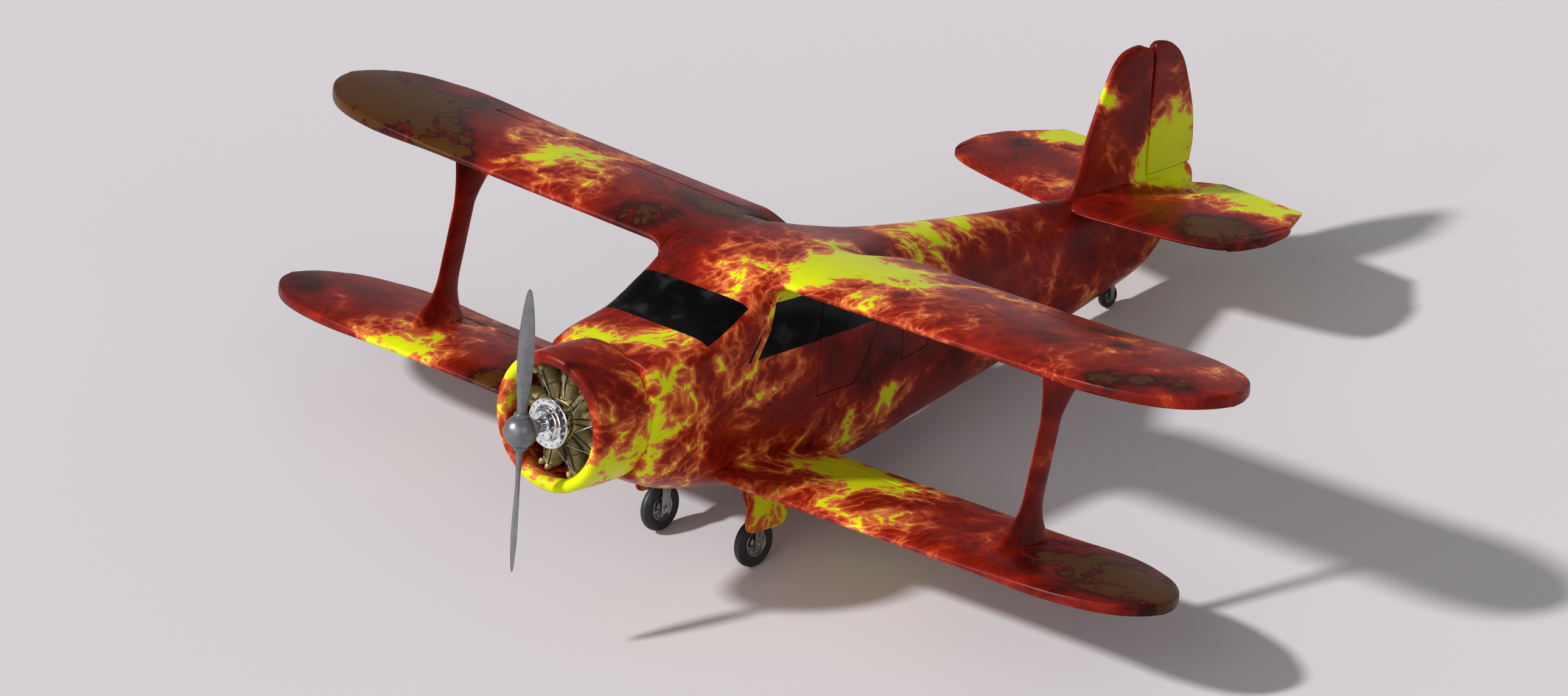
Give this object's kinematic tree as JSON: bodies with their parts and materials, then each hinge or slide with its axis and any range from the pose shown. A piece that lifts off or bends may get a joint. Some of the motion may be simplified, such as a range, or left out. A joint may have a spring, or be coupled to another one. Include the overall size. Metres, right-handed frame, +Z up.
{
  "type": "cabin biplane aircraft",
  "caption": "Cabin biplane with negative stagger, radial engine, two-blade propeller, hinged controls and doors, parked on two main wheels and a steered tail wheel.",
  "frame": {"origin": "middle of the bounding box, on the ground", "axes": "+X to the aircraft's port side, +Y aft, +Z up"},
  "size_m": [9.75, 8.3217, 3.1463],
  "materials": {
    "skin": "semi-gloss red, orange, yellow and olive flame pattern",
    "glass": "near black, glossy",
    "trim": "matte",
    "engine": "olive brass, finned",
    "block": "plain",
    "steel": "polished",
    "tyre": "ribbed",
    "propeller": "satin grey"
  },
  "bodies": {
    "airframe": {"cabin_floor": "trim", "cabin_shell": "skin", "cowl": "skin", "engine_block": "block", "engine_nose_case": "steel", "fin": "skin", "front_seats": "trim", "front_window_port": "glass", "gear_door_port": "skin", "gear_door_starboard": "skin", "instrument_panel": "trim", "lower_wing_port": "skin", "lower_wing_starboard": "skin", "main_leg_port": "steel", "main_leg_starboard": "steel", "nose_section": "skin", "radial_engine": "engine", "rear_bench": "trim", "rear_fuselage": "skin", "side_window_starboard": "glass", "stabiliser_port": "skin", "stabiliser_starboard": "skin", "strut_port": "skin", "strut_starboard": "skin", "tail_leg": "steel", "upper_wing_port": "skin", "upper_wing_starboard": "skin", "windscreen": "glass"},
    "propeller": {"propeller_hub": "propeller", "propeller_blade_upper": "propeller", "propeller_blade_lower": "propeller"},
    "cabin_door": {"cabin_door": "skin", "door_window": "glass"},
    "baggage_door": {"baggage_door": "skin"},
    "main_wheel_port": {"main_port_hub": "steel", "main_port_tyre": "tyre"},
    "main_wheel_starboard": {"main_starboard_hub": "steel", "main_starboard_tyre": "tyre"},
    "tail_fork": {"tail_fork": "steel"},
    "tail_wheel": {"tail_hub": "steel", "tail_tyre": "tyre"},
    "rudder": {"rudder": "skin"},
    "aileron_port": {"aileron_port": "skin"},
    "flap_port": {"flap_port": "skin"},
    "elevator_port": {"elevator_port": "skin"},
    "aileron_starboard": {"aileron_starboard": "skin"},
    "flap_starboard": {"flap_starboard": "skin"},
    "elevator_starboard": {"elevator_starboard": "skin"}
  },
  "joints": [
    {"name": "propeller_spin", "type": "hinge", "parent": "airframe", "child": "propeller", "pos_m": [0, -3.896, 1.974], "axis": [0, 0.9761, -0.2171], "continuous": true},
    {"name": "main_wheel_port_spin", "type": "hinge", "parent": "airframe", "child": "main_wheel_port", "pos_m": [0.52, -1.933, 0.205], "axis": [1, 0, 0], "continuous": true},
    {"name": "main_wheel_starboard_spin", "type": "hinge", "parent": "airframe", "child": "main_wheel_starboard", "pos_m": [-0.52, -1.933, 0.205], "axis": [1, 0, 0], "continuous": true},
    {"name": "tail_wheel_steer", "type": "hinge", "parent": "airframe", "child": "tail_fork", "pos_m": [0, 2.99579, 0.22295], "axis": [0, 0.2171, 0.9761], "range_deg": [-30, 30]},
    {"name": "tail_wheel_spin", "type": "hinge", "parent": "tail_fork", "child": "tail_wheel", "pos_m": [0, 2.968, 0.098], "axis": [1, 0, 0], "continuous": true},
    {"name": "cabin_door_hinge", "type": "hinge", "parent": "airframe", "child": "cabin_door", "pos_m": [0.65867, -1.18917, 1.26129], "axis": [0, -0.2171, -0.9761], "range_deg": [0, 75]},
    {"name": "baggage_door_hinge", "type": "hinge", "parent": "airframe", "child": "baggage_door", "pos_m": [0.58381, -0.1077, 1.08016], "axis": [0, -0.2171, -0.9761], "range_deg": [0, 85]},
    {"name": "aileron_port_hinge", "type": "hinge", "parent": "airframe", "child": "aileron_port", "pos_m": [0.78, -0.46612, 2.19534], "axis": [0.9997, 0.0051, 0.0229], "range_deg": [-20, 20]},
    {"name": "flap_port_hinge", "type": "hinge", "parent": "airframe", "child": "flap_port", "pos_m": [0.82, -1.32117, 0.74614], "axis": [0.9999, 0.0036, 0.0161], "range_deg": [-40, 0]},
    {"name": "elevator_port_hinge", "type": "hinge", "parent": "airframe", "child": "elevator_port", "pos_m": [0.15, 3.5983, 0.89407], "axis": [1, 0, 0], "range_deg": [-25, 25]},
    {"name": "aileron_starboard_hinge", "type": "hinge", "parent": "airframe", "child": "aileron_starboard", "pos_m": [-0.78, -0.46612, 2.19534], "axis": [0.9997, -0.0051, -0.0229], "range_deg": [-20, 20]},
    {"name": "flap_starboard_hinge", "type": "hinge", "parent": "airframe", "child": "flap_starboard", "pos_m": [-0.82, -1.32117, 0.74614], "axis": [0.9999, -0.0036, -0.0161], "range_deg": [-40, 0]},
    {"name": "elevator_starboard_hinge", "type": "hinge", "parent": "airframe", "child": "elevator_starboard", "pos_m": [-0.15, 3.5983, 0.89407], "axis": [1, 0, 0], "range_deg": [-25, 25]},
    {"name": "rudder_hinge", "type": "hinge", "parent": "airframe", "child": "rudder", "pos_m": [0, 3.50179, 1.01285], "axis": [0, 0.2171, 0.9761], "range_deg": [-25, 25]}
  ],
  "couplings": [
    {"joint": "aileron_starboard_hinge", "follows": "aileron_port_hinge", "ratio": -1},
    {"joint": "flap_starboard_hinge", "follows": "flap_port_hinge", "ratio": 1},
    {"joint": "elevator_starboard_hinge", "follows": "elevator_port_hinge", "ratio": 1}
  ]
}
